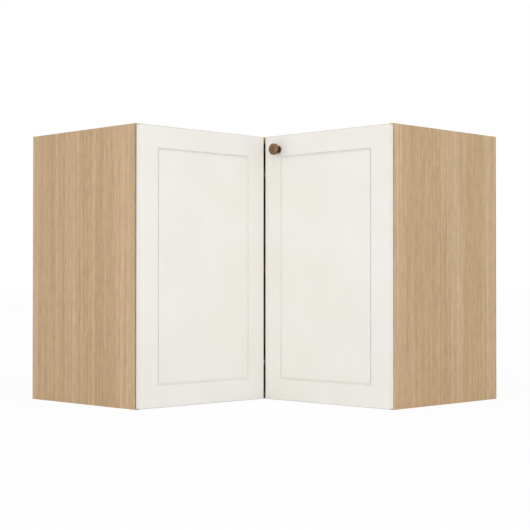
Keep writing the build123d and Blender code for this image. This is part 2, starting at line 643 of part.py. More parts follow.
def hinge_arm(name, level):
    """The cranked arm: a knuckle on the pin, a strap out of the cup and a channel on the plate."""
    low = level - ARM_WIDTH / 2
    crank = ARM_TOP - ARM_STRAP / 2
    with BuildPart() as arm:
        with BuildSketch(Plane.XY.offset(low)):
            with Locations((PIN_X, PIN_Y)):
                Circle(KNUCKLE_RADIUS)
            with Locations(((PIN_X + ARM_TOP) / 2, PIN_Y)):
                Rectangle(ARM_TOP - PIN_X, ARM_STRAP)
            strap_front = PIN_Y - ARM_STRAP / 2
            with Locations((crank, (strap_front + ARM_FRONT + ARM_CLOSED) / 2)):
                Rectangle(ARM_STRAP, ARM_FRONT + ARM_CLOSED - strap_front)
            with Locations((ARM_TOP - ARM_HEIGHT / 2, ARM_FRONT + ARM_LENGTH / 2)):
                Rectangle(ARM_HEIGHT, ARM_LENGTH)
            with Locations((PIN_X, PIN_Y)):
                Circle(PIN_RADIUS + FIT, mode=Mode.SUBTRACT)
        extrude(amount=ARM_WIDTH)
        outer_bend = arm.edges().filter_by(Axis.Z).sort_by(lambda edge: edge.center().X - edge.center().Y)[-1]
        fillet(outer_bend, ARM_STRAP * 0.8)
        bar(
            (ARM_TOP - ARM_HEIGHT, ARM_FRONT + ARM_CLOSED, low + ARM_WALL),
            (ARM_TOP - ARM_WALL, ARM_FRONT + ARM_LENGTH, low + ARM_WIDTH - ARM_WALL),
            mode=Mode.SUBTRACT,
        )
        for y in ARM_SCREW_PLACES:
            rod(across(ARM_TOP, y, level), SCREW_RADIUS + FIT, -ARM_WALL, mode=Mode.SUBTRACT)
    save(name, arm)
    return arm


def hinge_plate(name, level):
    """The winged plate on the flank, with a boss inside the arm's channel."""
    with BuildPart() as plate:
        bar(
            (INSIDE, FRONT + PLATE_FRONT, level - PLATE_BED_WIDTH / 2),
            (INSIDE + PLATE_THICKNESS, FRONT + PLATE_FRONT + PLATE_LENGTH, level + PLATE_BED_WIDTH / 2),
        )
        wing = FRONT + PLATE_SETBACK
        bar(
            (INSIDE, wing - PLATE_WING_LENGTH / 2, level - PLATE_WING_SPAN / 2),
            (INSIDE + PLATE_THICKNESS, wing + PLATE_WING_LENGTH / 2, level + PLATE_WING_SPAN / 2),
        )
        bar(
            (INSIDE + PLATE_THICKNESS, FRONT + BOSS_FRONT, level - BOSS_WIDTH / 2),
            (INSIDE + PLATE_THICKNESS + BOSS_HEIGHT, FRONT + BOSS_FRONT + BOSS_LENGTH, level + BOSS_WIDTH / 2),
        )
        for side in (-PLATE_SCREW_SPREAD, PLATE_SCREW_SPREAD):
            hole = at_flank(wing, level + side)
            rod(hole, SCREW_RADIUS + FIT, PLATE_THICKNESS, mode=Mode.SUBTRACT)
        for y in ARM_SCREW_PLACES:
            depth = PLATE_THICKNESS + BOSS_HEIGHT
            rod(at_flank(y, level), SCREW_RADIUS + FIT, depth, mode=Mode.SUBTRACT)
    save(name, plate)
    return plate


def fold_arm(name, level):
    """The arm between the doors: from the pin out behind the right door and onto the left one."""
    low = level - ARM_WIDTH / 2
    pin_x = PIN_Y
    pin_y = DOOR_EDGE + DOOR_FREE_EDGE - PIN_X
    crank = pin_y - (ARM_TOP - ARM_STRAP / 2 - PIN_X)
    behind = DOOR_BACK + FOLD_CLEARANCE + ARM_STRAP / 2
    top = DOOR_BACK + PLATE_THICKNESS + ARM_HEIGHT
    nose = DOOR_FREE_EDGE - ARM_NOSE
    bends = (
        (pin_x, pin_y),
        (pin_x, crank),
        (behind, crank),
        (behind, top - ARM_STRAP / 2),
        (nose - ARM_CLOSED, top - ARM_STRAP / 2),
    )
    with BuildPart() as arm:
        with BuildSketch(Plane.XY.offset(low)):
            for start, end in zip(bends[:-1], bends[1:]):
                reach = (abs(end[0] - start[0]) + ARM_STRAP, abs(end[1] - start[1]) + ARM_STRAP)
                with Locations(((start[0] + end[0]) / 2, (start[1] + end[1]) / 2)):
                    Rectangle(*reach)
            with Locations((pin_x, pin_y)):
                Circle(KNUCKLE_RADIUS)
            with Locations((nose - ARM_LENGTH / 2, top - ARM_HEIGHT / 2)):
                Rectangle(ARM_LENGTH, ARM_HEIGHT)
            with Locations((pin_x, pin_y)):
                Circle(PIN_RADIUS + FIT, mode=Mode.SUBTRACT)
        extrude(amount=ARM_WIDTH)
        bar(
            (nose - ARM_LENGTH, top - ARM_HEIGHT, low + ARM_WALL),
            (nose - ARM_CLOSED, top - ARM_WALL, low + ARM_WIDTH - ARM_WALL),
            mode=Mode.SUBTRACT,
        )
        for y in ARM_SCREW_PLACES:
            hole = along(DOOR_FREE_EDGE - (y - FRONT), top, level)
            rod(hole, SCREW_RADIUS + FIT, -ARM_WALL, mode=Mode.SUBTRACT)
    save(name, arm)
    return arm


for place_name, hinge_level in HINGE_LEVELS.items():
    flank_hinge = f"flank_{place_name}_hinge"
    fold_hinge = f"fold_{place_name}_hinge"
    moved_copy(f"{fold_hinge}_cup", hinge_cup(f"{flank_hinge}_cup", hinge_level), TURN)
    moved_copy(f"{fold_hinge}_pin", hinge_pin(f"{flank_hinge}_pin", hinge_level), TURN)
    moved_copy(f"{fold_hinge}_plate", hinge_plate(f"{flank_hinge}_plate", hinge_level), ONTO_DOOR)
    hinge_arm(f"{flank_hinge}_arm", hinge_level)
    fold_arm(f"{fold_hinge}_arm", hinge_level)


def pan_screw(plane, length):
    """A pan-head screw whose head stands on the plane and whose shank runs against its normal."""
    rod(plane, SCREW_HEAD_RADIUS, SCREW_HEAD)
    rod(plane, SCREW_RADIUS, -length)


with BuildPart() as flank_plate_screws:
    for level in HINGE_LEVELS.values():
        for side in (-PLATE_SCREW_SPREAD, PLATE_SCREW_SPREAD):
            seat = across(INSIDE + PLATE_THICKNESS, FRONT + PLATE_SETBACK, level + side)
            pan_screw(seat, PLATE_SCREW_LENGTH)
save("flank_plate_screws", flank_plate_screws)
fold_plate_screws = moved_copy("fold_plate_screws", flank_plate_screws, ONTO_DOOR)

with BuildPart() as flank_arm_screws:
    for level in HINGE_LEVELS.values():
        for y in ARM_SCREW_PLACES:
            pan_screw(across(ARM_TOP, y, level), ARM_HEIGHT + PLATE_THICKNESS / 2)
save("flank_arm_screws", flank_arm_screws)
fold_arm_screws = moved_copy("fold_arm_screws", flank_arm_screws, ONTO_DOOR)

with BuildPart() as left_cup_screws:
    for level in HINGE_LEVELS.values():
        for side in (-CUP_SCREW_SPREAD, CUP_SCREW_SPREAD):
            seat = along(CUP_MIDDLE + CUP_SCREW_OFFSET, DOOR_BACK + FLANGE_THICKNESS, level + side)
            pan_screw(seat, CUP_SCREW_LENGTH)
save("left_cup_screws", left_cup_screws)
right_cup_screws = moved_copy("right_cup_screws", left_cup_screws, TURN)

# Knob: turned in one piece with its stem, standing on a separate rose; x is the radius, y the height
KNOB_PLANE = Plane(origin=(DOOR_FRONT, KNOB_ALONG, KNOB_LEVEL), x_dir=(0, 1, 0), z_dir=(0, 0, 1))
KNOB_AXIS = Axis((DOOR_FRONT, KNOB_ALONG, KNOB_LEVEL), (-1, 0, 0))

with BuildPart() as knob_base:
    with BuildSketch(KNOB_PLANE):
        with BuildLine():
            Polyline(
                (KNOB_THREAD_RADIUS + FIT, 0),
                (KNOB_BASE_RADIUS, 0),
                (KNOB_BASE_RADIUS, KNOB_BASE_THICKNESS / 2),
            )
            ThreePointArc(
                (KNOB_BASE_RADIUS, KNOB_BASE_THICKNESS / 2),
                (KNOB_BASE_RADIUS - 0.7, KNOB_BASE_THICKNESS * 0.85),
                (KNOB_BASE_RADIUS - KNOB_BASE_THICKNESS / 2, KNOB_BASE_THICKNESS),
            )
            Polyline(
                (KNOB_BASE_RADIUS - KNOB_BASE_THICKNESS / 2, KNOB_BASE_THICKNESS),
                (KNOB_THREAD_RADIUS + FIT, KNOB_BASE_THICKNESS),
                (KNOB_THREAD_RADIUS + FIT, 0),
            )
        make_face()
    revolve(axis=KNOB_AXIS)
save("knob_base", knob_base)

HEAD_REAR = KNOB_PROJECTION - KNOB_HEAD_THICKNESS
RIM_FRONT = KNOB_PROJECTION - KNOB_CROWN
RIM_REAR = RIM_FRONT - KNOB_RIM

with BuildPart() as knob:
    with BuildSketch(KNOB_PLANE):
        with BuildLine():
            Polyline(
                (0, KNOB_BASE_THICKNESS + KNOB_THREAD_DEPTH),
                (KNOB_THREAD_RADIUS + FIT, KNOB_BASE_THICKNESS + KNOB_THREAD_DEPTH),
                (KNOB_THREAD_RADIUS + FIT, KNOB_BASE_THICKNESS),
                (KNOB_STEM_RADIUS, KNOB_BASE_THICKNESS),
            )
            Spline(
                (KNOB_STEM_RADIUS, KNOB_BASE_THICKNESS),
                (KNOB_STEM_RADIUS * 0.8, (KNOB_BASE_THICKNESS + HEAD_REAR) / 2),
                (KNOB_STEM_RADIUS * 1.35, HEAD_REAR),
                (KNOB_HEAD_RADIUS, RIM_REAR),
                tangents=((0, 1), (0, 1)),
            )
            Line((KNOB_HEAD_RADIUS, RIM_REAR), (KNOB_HEAD_RADIUS, RIM_FRONT))
            Spline(
                (KNOB_HEAD_RADIUS, RIM_FRONT),
                (KNOB_HEAD_RADIUS * 0.86, KNOB_PROJECTION - KNOB_CROWN * 0.3),
                (0, KNOB_PROJECTION),
                tangents=((0, 1), (-1, 0)),
            )
            Line((0, KNOB_PROJECTION), (0, KNOB_BASE_THICKNESS + KNOB_THREAD_DEPTH))
        make_face()
    revolve(axis=KNOB_AXIS)
save("knob", knob)

# Knob screw: its head lies on the door's back and its shank ends inside the knob's stem
with BuildPart() as knob_screw:
    head_seat = across(DOOR_BACK, KNOB_ALONG, KNOB_LEVEL)
    rod(head_seat, KNOB_SCREW_HEAD_RADIUS, KNOB_SCREW_HEAD)
    shank = DOOR_THICKNESS + KNOB_BASE_THICKNESS + KNOB_THREAD_DEPTH - 1
    rod(head_seat, KNOB_THREAD_RADIUS, -shank)
save("knob_screw", knob_screw)
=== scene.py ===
"""Finishes and stage for a corner base cabinet with oak decor flanks and a folding pair of doors.

Metres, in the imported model's own frame: the origin is at the middle of the footprint on the
floor, +Z is up and the two room walls stand at +X and +Y. The boards, doors and fittings come
from the frame and get their finishes here. The screws with driver recesses are built here, in
the places and sizes that the frame's plain screws give.
"""

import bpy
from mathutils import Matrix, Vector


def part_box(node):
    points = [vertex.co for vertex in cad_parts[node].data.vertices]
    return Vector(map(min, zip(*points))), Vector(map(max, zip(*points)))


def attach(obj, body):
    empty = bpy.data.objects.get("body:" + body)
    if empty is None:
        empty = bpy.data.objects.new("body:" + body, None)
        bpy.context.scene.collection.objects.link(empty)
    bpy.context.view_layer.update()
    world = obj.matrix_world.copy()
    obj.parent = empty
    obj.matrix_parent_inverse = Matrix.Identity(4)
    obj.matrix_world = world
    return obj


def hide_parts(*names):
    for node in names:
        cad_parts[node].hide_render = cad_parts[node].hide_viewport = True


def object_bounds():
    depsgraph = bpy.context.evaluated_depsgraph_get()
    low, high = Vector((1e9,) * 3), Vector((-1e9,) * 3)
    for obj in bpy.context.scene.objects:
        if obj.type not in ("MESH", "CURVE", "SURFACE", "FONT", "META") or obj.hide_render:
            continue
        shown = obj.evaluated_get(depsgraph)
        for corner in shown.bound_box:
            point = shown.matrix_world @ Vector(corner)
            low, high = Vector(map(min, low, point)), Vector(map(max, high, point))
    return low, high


bl_info = {
    "name": "Corner Base Cabinet",
    "version": (1, 0, 0),
    "blender": (4, 5, 0),
    "location": "View3D > Sidebar > Cabinet",
    "description": "Finishes and stages a corner base cabinet with a folding pair of framed doors",
    "category": "Object",
}

import math

import bmesh
import bpy
from bpy.props import FloatProperty, FloatVectorProperty, PointerProperty
from mathutils import Matrix, Vector

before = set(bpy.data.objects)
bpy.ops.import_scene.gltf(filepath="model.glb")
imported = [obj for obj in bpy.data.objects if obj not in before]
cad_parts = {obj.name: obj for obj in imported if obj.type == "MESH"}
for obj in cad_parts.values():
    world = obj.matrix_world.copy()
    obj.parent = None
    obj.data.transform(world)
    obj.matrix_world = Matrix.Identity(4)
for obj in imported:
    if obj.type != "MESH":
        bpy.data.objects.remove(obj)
CAD_LOW, CAD_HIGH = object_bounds()
MM = 0.001
WHITE = (1, 1, 1)

# A mix node repeats its socket names for numbers and colours, so the colour ones go by number
MIX_FIRST = 6
MIX_SECOND = 7
MIX_RESULT = 2

# How far a pattern's seed moves it along X, Y and Z
SEED_SHIFTS = (1, 1.7, 0.6)

# A face looks along a direction where the cosine of the angle between them is over this
FACING_COSINE = 0.8

# Decimals of a metre to which points, and levels along a screw, count as the same
POINT_DIGITS = 6
LEVEL_DIGITS = 5

# Levels of a packed screw whose radius is this near the largest belong to its head
HEAD_MARGIN = 0.3 * MM

# Each ring of a screw has six points to a quarter turn, as the outline of its recess needs
QUARTERS = 4
RING_POINTS = 6 * QUARTERS

# A screw's edges that turn by more than this stay crisp
CRISP_ANGLE = math.radians(35)

# Half the floor's width in metres, so that its edge comes close to the horizon
FLOOR_HALF = 60.0
FLOOR_PAINT = (0.9, 0.9, 0.9)

# How much of the floor's own shading gives way to plain white where it is seen directly
FLOOR_WHITENED = 0.94

# Strength of the surround where it lights the cabinet; where it is seen, 1 is white
FILL_STRENGTH = 0.75
SEEN_STRENGTH = 1.0

# Each soft light's name, place and side in metres, and its power in watts
SOFTBOXES = (
    ("left softbox", (-4.2, -1.6, 1.2), 2.0, 27),
    ("right softbox", (-1.6, -4.2, 1.2), 2.0, 27),
    ("top softbox", (-1.4, -1.4, 3.2), 2.4, 10),
)

# The photograph's viewpoint: place in metres, tilt up in radians, sideways shift in frame widths
CAMERA_PLACE = (-2.5333, -2.5333, 0.3193)
CAMERA_PITCH = 0.0134
CAMERA_SHIFT = 0.0009


def linear(code):
    """The linear colour of an sRGB hex code."""
    channels = [int(code[i:i + 2], 16) / 255 for i in (0, 2, 4)]
    return tuple(c / 12.92 if c <= 0.04045 else ((c + 0.055) / 1.055) ** 2.4 for c in channels)


def colour(label, code, about):
    """A colour property with an sRGB hex default."""
    return FloatVectorProperty(
        name=label, description=about, subtype="COLOR", size=3, min=0, max=1, default=linear(code)
    )


def length(label, value, about):
    """A length property in metres."""
    return FloatProperty(name=label, description=about, unit="LENGTH", min=0.00001, default=value)


class CabinetColours(bpy.types.PropertyGroup):
    """The colours of the cabinet's finishes"""

    oak_light: colour("Oak light", "D9BC96", "Pale early wood of the printed oak")
    oak_dark: colour("Oak dark", "AE926F", "Dark late wood of the printed oak")
    oak_warm: colour("Oak warm", "C9A67D", "Orange cast that wanders over the oak")
    chip_light: colour("Chip light", "CBB189", "Pale chips at a sawn chipboard edge")
    chip_dark: colour("Chip dark", "957749", "Dark chips at a sawn chipboard edge")
    lacquer: colour("Lacquer", "EFEDE8", "Off-white paint of the doors")
    bronze_rubbed: colour("Bronze rubbed", "96755A", "Bronze where hands keep it bright")
    # The dark bronze colour is patina, and on the knob's stem and rose behind the head it is also
    # painted shade
    bronze_dark: colour("Bronze dark", "2F2116", "Patina in the hollows of the bronze")
    nickel: colour("Nickel", "CBC8C2", "Nickel plating of the hinges, their screws and the shelf pins")
    zinc: colour("Zinc", "A8A9A8", "Zinc of the cams, bolts, nails, post screws and knob screw")
    board_white: colour("Board white", "E9E6DD", "Painted face of the hardboard backs")
    board_brown: colour("Board brown", "8A6543", "Bare rear face of the hardboard backs")
    beech: colour("Beech", "D2AB7C", "Turned beech of the dowels")
    pad: colour("Pad", "DCDCD8", "Clear soft plastic of the door pads")


class CabinetSizes(bpy.types.PropertyGroup):
    """The real sizes of the patterns in the finishes, and the camera's lens"""

    band: length("Oak band", 80 * MM, "Width of a broad tone band across the oak")
    streak: length("Oak streak", 8 * MM, "Width of a streak across the oak")
    pore: length("Oak pore", 6 * MM, "Width of a pore line across the oak")
    chip: length("Chip", 3 * MM, "Size of a wood chip at a sawn edge")
    peel: length("Orange peel", 2.2 * MM, "Spacing of the ripple in the sprayed lacquer")
    patch: length("Lacquer patch", 500 / 3 * MM, "Size of a faint patch of tone in the lacquer")
    mottle: length("Bronze mottle", 3 * MM, "Size of a spot in the patina of the bronze")
    fibre: length("Fibre", 4 * MM, "Size of a fibre bundle in the hardboard")
    fleck: length("Beech fleck", 1.5 * MM, "Width of a dark fleck in the beech")
    focal: length("Focal length", 88.58 * MM, "Lens of the camera on a 36 mm sensor")
    sensor: length("Sensor", 36 * MM, "Width of the camera's sensor")


def sizes():
    """The scene's size settings."""
    return bpy.context.scene.cabinet_sizes


def colours():
    """The scene's colour settings."""
    return bpy.context.scene.cabinet_colours


def dimmed(tint, share):
    """A colour with every channel brought down to a share of itself."""
    return [channel * share for channel in tint]


def add_node(tree, kind, inputs=None, **settings):
    """Add one node with its settings, and give inputs their numbers, colours or links."""
    node = tree.nodes.new(kind)
    for name, setting in settings.items():
        setattr(node, name, setting)
    for name, given in (inputs or {}).items():
        socket = node.inputs[name]
        if isinstance(given, bpy.types.NodeSocket):
            tree.links.new(given, socket)
        elif socket.type == "RGBA":
            socket.default_value = (*given, 1)
        else:
            socket.default_value = given
    return node


def start_material(name):
    """A new material and its empty node tree."""
    material = bpy.data.materials.new(name)
    material.use_nodes = True
    material.node_tree.nodes.clear()
    return material, material.node_tree


def surfaced(material, inputs):
    """Close a material with a Principled surface that has these inputs."""
    tree = material.node_tree
    surface = add_node(tree, "ShaderNodeBsdfPrincipled", inputs)
    add_node(tree, "ShaderNodeOutputMaterial", {"Surface": surface.outputs[0]})
    return material


def shade(tree, amount, first, second, low, high):
    """A colour that passes from first to second as the amount goes from low to high."""
    share = add_node(
        tree,
        "ShaderNodeMapRange",
        {"Value": amount, "From Min": low, "From Max": high},
        interpolation_type="SMOOTHSTEP",
    ).outputs[0]
    return add_node(
        tree,
        "ShaderNodeMix",
        {"Factor": share, MIX_FIRST: first, MIX_SECOND: second},
        data_type="RGBA",
    ).outputs[MIX_RESULT]


def stretched(tree, grain, stretch, period, detail, seed, rough=0.5):
    """Noise drawn out along the grain, with one wave per period across it."""
    place = add_node(tree, "ShaderNodeTexCoord").outputs["Object"]
    moved = add_node(
        tree,
        "ShaderNodeMapping",
        {
            "Vector": place,
            "Location": [seed * shift for shift in SEED_SHIFTS],
            "Scale": [1 / stretch if axis == grain else 1 for axis in "XYZ"],
        },
    ).outputs[0]
    return add_node(
        tree,
        "ShaderNodeTexNoise",
        {"Vector": moved, "Scale": 1 / period, "Detail": detail, "Roughness": rough},
    ).outputs["Fac"]


def facing(tree, directions):
    """1 on faces that look along one of the directions, 0 elsewhere."""
    normal = add_node(tree, "ShaderNodeTexCoord").outputs["Normal"]
    total = None
    for direction in directions:
        along = add_node(
            tree, "ShaderNodeVectorMath", {0: normal, 1: direction}, operation="DOT_PRODUCT"
        ).outputs["Value"]
        hit = add_node(
            tree, "ShaderNodeMath", {0: along, 1: FACING_COSINE}, operation="GREATER_THAN"
        ).outputs[0]
        if total is not None:
            hit = add_node(tree, "ShaderNodeMath", {0: total, 1: hit}, operation="MAXIMUM").outputs[0]
        total = hit
    return total


def oak_decor(name, grain, sawn, seed):
    """Melamine-faced chipboard: oak printed under matt resin, so the grain is crisp but hardly felt."""
    tints, size = colours(), sizes()
    material, tree = start_material(name)
    # Straight-cut oak: bands and streaks run almost the whole board, pores a few centimetres
    bands = stretched(tree, grain, stretch=60, period=size.band, detail=2, seed=seed)
    streaks = stretched(
        tree, grain, stretch=120, period=size.streak, detail=3, seed=seed + 3, rough=0.6
    )
    # Real pores are a third of a millimetre wide: drawn as coarse as the render can show them
    pores = stretched(tree, grain, stretch=6, period=size.pore, detail=2, seed=seed + 7, rough=0.7)
    # The figure is the streaks with seven tenths of the bands added
    band_share = 0.7
    figure = add_node(
        tree, "ShaderNodeMath", {0: bands, 1: band_share, 2: streaks}, operation="MULTIPLY_ADD"
    ).outputs[0]
    tone = shade(tree, figure, tints.oak_light, tints.oak_dark, low=0.38, high=1.25)
    tone = shade(tree, bands, tone, tints.oak_warm, low=0.42, high=0.9)
    # Pores darken the tone they lie in, and the wood between them is a little brighter
    between_pores = (1.05, 1.05, 1.05)
    in_pores = (0.88, 0.87, 0.85)
    pore_tone = shade(tree, pores, between_pores, in_pores, low=0.3, high=0.75)
    decor = add_node(
        tree,
        "ShaderNodeMix",
        {"Factor": 1.0, MIX_FIRST: tone, MIX_SECOND: pore_tone},
        data_type="RGBA",
        blend_type="MULTIPLY",
    ).outputs[MIX_RESULT]
    # Sawn edges without a band show the chips of the core
    place = add_node(tree, "ShaderNodeTexCoord").outputs["Object"]
    chips = add_node(tree, "ShaderNodeTexVoronoi", {"Vector": place, "Scale": 1 / size.chip})
    core = shade(tree, chips.outputs["Color"], tints.chip_light, tints.chip_dark, low=0.2, high=0.8)
    raw = facing(tree, sawn)
    tint = add_node(
        tree, "ShaderNodeMix", {"Factor": raw, MIX_FIRST: decor, MIX_SECOND: core}, data_type="RGBA"
    ).outputs[MIX_RESULT]
    height = add_node(
        tree,
        "ShaderNodeMix",
        {"Factor": raw, MIX_FIRST: pores, MIX_SECOND: chips.outputs["Distance"]},
        data_type="RGBA",
    ).outputs[MIX_RESULT]
    relief = add_node(
        tree, "ShaderNodeBump", {"Height": height, "Distance": 0.1 * MM, "Strength": 0.25}
    ).outputs[0]
    return surfaced(
        material,
        {"Base Color": tint, "Roughness": 0.52, "Specular IOR Level": 0.35, "Normal": relief},
    )


def sprayed_lacquer(name):
    """Satin two-part lacquer sprayed on fibreboard: an even off-white with a faint orange peel."""
    tints, size = colours(), sizes()
    material, tree = start_material(name)
    place = add_node(tree, "ShaderNodeTexCoord").outputs["Object"]
    peel = add_node(
        tree, "ShaderNodeTexNoise", {"Vector": place, "Scale": 1 / size.peel, "Detail": 1.0}
    ).outputs["Fac"]
    patches = add_node(
        tree, "ShaderNodeTexNoise", {"Vector": place, "Scale": 1 / size.patch, "Detail": 2.0}
    ).outputs["Fac"]
    yellowing = (0.98, 0.975, 0.96)
    aged = [channel * share for channel, share in zip(tints.lacquer, yellowing)]
    sheen = add_node(
        tree, "ShaderNodeMapRange", {"Value": patches, "To Min": 0.36, "To Max": 0.44}
    ).outputs[0]
    relief = add_node(
        tree, "ShaderNodeBump", {"Height": peel, "Distance": 0.03 * MM, "Strength": 0.25}
    ).outputs[0]
    return surfaced(
        material,
        {
            "Base Color": shade(tree, patches, tints.lacquer, aged, low=0.35, high=0.65),
            "Roughness": sheen,
            "IOR": 1.5,
            "Specular IOR Level": 0.4,
            "Normal": relief,
        },
    )


def antique_bronze(name, crown, rubbed_to, dark_from):
    """Cast and patinated bronze: rubbed to a warm brown round the crown, brown-black away from it,
    where patina and painted shade behind the head both darken it.
    """
    tints, size = colours(), sizes()
    material, tree = start_material(name)
    place = add_node(tree, "ShaderNodeTexCoord").outputs["Object"]
    away = add_node(
        tree, "ShaderNodeVectorMath", {0: place, 1: crown}, operation="DISTANCE"
    ).outputs["Value"]
    mottle = add_node(
        tree,
        "ShaderNodeTexNoise",
        {"Vector": place, "Scale": 1 / size.mottle, "Detail": 4.0, "Roughness": 0.65},
    ).outputs["Fac"]
    # Darker with distance from the crown towards the door: patina on the rim, and painted shade on the
    # stem and rose behind the head
    rubbed = add_node(
        tree,
        "ShaderNodeMapRange",
        {"Value": away, "From Min": dark_from, "From Max": rubbed_to},
        interpolation_type="SMOOTHSTEP",
    ).outputs[0]
    spots = add_node(
        tree,
        "ShaderNodeMapRange",
        {"Value": mottle, "From Min": 0.15, "From Max": 0.6},
        interpolation_type="SMOOTHSTEP",
    ).outputs[0]
    patchy = add_node(
        tree, "ShaderNodeMath", {0: rubbed, 1: spots}, operation="MULTIPLY"
    ).outputs[0]
    tint = add_node(
        tree,
        "ShaderNodeMix",
        {"Factor": patchy, MIX_FIRST: tints.bronze_dark, MIX_SECOND: tints.bronze_rubbed},
        data_type="RGBA",
    ).outputs[MIX_RESULT]
    dull = add_node(
        tree, "ShaderNodeMapRange", {"Value": patchy, "To Min": 0.62, "To Max": 0.42}
    ).outputs[0]
    relief = add_node(
        tree, "ShaderNodeBump", {"Height": mottle, "Distance": 0.12 * MM, "Strength": 0.35}
    ).outputs[0]
    return surfaced(
        material, {"Base Color": tint, "Metallic": 1.0, "Roughness": dull, "Normal": relief}
    )


def plated_metal(name, tint, smooth, dull, spot):
    """Plated or die-cast metal: an even cool grey whose gloss drifts from spot to spot."""
    material, tree = start_material(name)
    place = add_node(tree, "ShaderNodeTexCoord").outputs["Object"]
    drift = add_node(
        tree, "ShaderNodeTexNoise", {"Vector": place, "Scale": 1 / spot, "Detail": 3.0}
    ).outputs["Fac"]
    gloss = add_node(
        tree, "ShaderNodeMapRange", {"Value": drift, "To Min": smooth, "To Max": dull}
    ).outputs[0]
    relief = add_node(
        tree, "ShaderNodeBump", {"Height": drift, "Distance": 0.02 * MM, "Strength": 0.15}
    ).outputs[0]
    return surfaced(
        material,
        {
            "Base Color": shade(tree, drift, tint, dimmed(tint, 0.86), low=0.35, high=0.65),
            "Metallic": 1.0,
            "Roughness": gloss,
            "Normal": relief,
        },
    )


def painted_hardboard(name, inside):
    """Wet-pressed hardboard: painted smooth inside, bare brown at its rear and its edges."""
    tints, size = colours(), sizes()
    material, tree = start_material(name)
    place = add_node(tree, "ShaderNodeTexCoord").outputs["Object"]
    fibres = add_node(
        tree,
        "ShaderNodeTexNoise",
        {"Vector": place, "Scale": 1 / size.fibre, "Detail": 5.0, "Roughness": 0.7},
    ).outputs["Fac"]
    brown, white = (
        shade(tree, fibres, tint, dimmed(tint, share), low=0.35, high=0.68)
        for tint, share in ((tints.board_brown, 0.62), (tints.board_white, 0.96))
    )
    tint = add_node(
        tree,
        "ShaderNodeMix",
        {"Factor": facing(tree, [inside]), MIX_FIRST: brown, MIX_SECOND: white},
        data_type="RGBA",
    ).outputs[MIX_RESULT]
    relief = add_node(
        tree, "ShaderNodeBump", {"Height": fibres, "Distance": 0.15 * MM, "Strength": 0.3}
    ).outputs[0]
    return surfaced(material, {"Base Color": tint, "Roughness": 0.6, "Normal": relief})


def turned_beech(name):
    """Turned beech: pale pinkish brown with short dark flecks."""
    tints, size = colours(), sizes()
    material, tree = start_material(name)
    flecks = stretched(tree, "X", stretch=6, period=size.fleck, detail=2, seed=2)
    tint = shade(tree, flecks, tints.beech, dimmed(tints.beech, 0.7), low=0.5, high=0.75)
    relief = add_node(
        tree, "ShaderNodeBump", {"Height": flecks, "Distance": 0.05 * MM, "Strength": 0.2}
    ).outputs[0]
    return surfaced(material, {"Base Color": tint, "Roughness": 0.6, "Normal": relief})


def soft_pad(name):
    """Cast polyurethane: a clear soft pad, slightly clouded."""
    tints = colours()
    cloud_size = 2 * MM
    material, tree = start_material(name)
    place = add_node(tree, "ShaderNodeTexCoord").outputs["Object"]
    cloud = add_node(
        tree, "ShaderNodeTexNoise", {"Vector": place, "Scale": 1 / cloud_size}
    ).outputs["Fac"]
    tint = add_node(
        tree,
        "ShaderNodeMix",
        {"Factor": cloud, MIX_FIRST: tints.pad, MIX_SECOND: dimmed(tints.pad, 0.92)},
        data_type="RGBA",
    ).outputs[MIX_RESULT]
    gloss = add_node(
        tree, "ShaderNodeMapRange", {"Value": cloud, "To Min": 0.12, "To Max": 0.25}
    ).outputs[0]
    return surfaced(
        material,
        {"Base Color": tint, "Roughness": gloss, "IOR": 1.46, "Transmission Weight": 0.55},
    )


def dress(material, *nodes):
    """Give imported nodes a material."""
    for name in nodes:
        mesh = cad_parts[name].data
        mesh.materials.clear()
        mesh.materials.append(material)


def add_object(name, data):
    """A new object in the scene for a mesh, a light or a camera."""
    made = bpy.data.objects.new(name, data)
    bpy.context.scene.collection.objects.link(made)
    return made


def solids_of(node):
    """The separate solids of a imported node, each as (low corner, high corner, its points)."""
    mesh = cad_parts[node].data
    places = [tuple(round(value, POINT_DIGITS) for value in vertex.co) for vertex in mesh.vertices]
    leader = {place: place for place in places}

    def leader_of(place):
        while leader[place] != place:
            leader[place] = leader[leader[place]]
            place = leader[place]
        return place

    for edge in mesh.edges:
        one, two = (leader_of(places[index]) for index in edge.vertices)
        leader[one] = two
    found = {}
    for place in leader:
        found.setdefault(leader_of(place), []).append(Vector(place))
    ordered = sorted(found.values(), key=lambda points: min(tuple(point) for point in points))
    return [
        (
            Vector([min(point[axis] for point in points) for axis in range(3)]),
            Vector([max(point[axis] for point in points) for axis in range(3)]),
            points,
        )
        for points in ordered
    ]


def screw_facts(low, high, points):
    """A packed screw's matrix (+Z out of its head, origin at the seat) and its four real sizes."""
    size = high - low
    along = max(range(3), key=lambda axis: size[axis])
    middle = (low + high) / 2
    reach = {}
    for point in points:
        level = round(point[along], LEVEL_DIGITS)
        radius = max(abs(point[axis] - middle[axis]) for axis in range(3) if axis != along)
        reach[level] = max(reach.get(level, 0), radius)
    head_radius = max(reach.values())
    levels = sorted(level for level, radius in reach.items() if radius > head_radius - HEAD_MARGIN)
    outward = 1 if levels[-1] > middle[along] else -1
    seat = levels[0] if outward == 1 else levels[-1]
    tip = low[along] if outward == 1 else high[along]
    axis = Vector((0, 0, 0))
    axis[along] = outward
    origin = middle.copy()
    origin[along] = seat
    place = Matrix.Translation(origin) @ axis.to_track_quat("Z", "Y").to_matrix().to_4x4()
    head_height = levels[-1] - levels[0]
    shank_radius = min(reach[round(tip, LEVEL_DIGITS)], head_radius)
    return place, head_radius, head_height, shank_radius, abs(seat - tip)


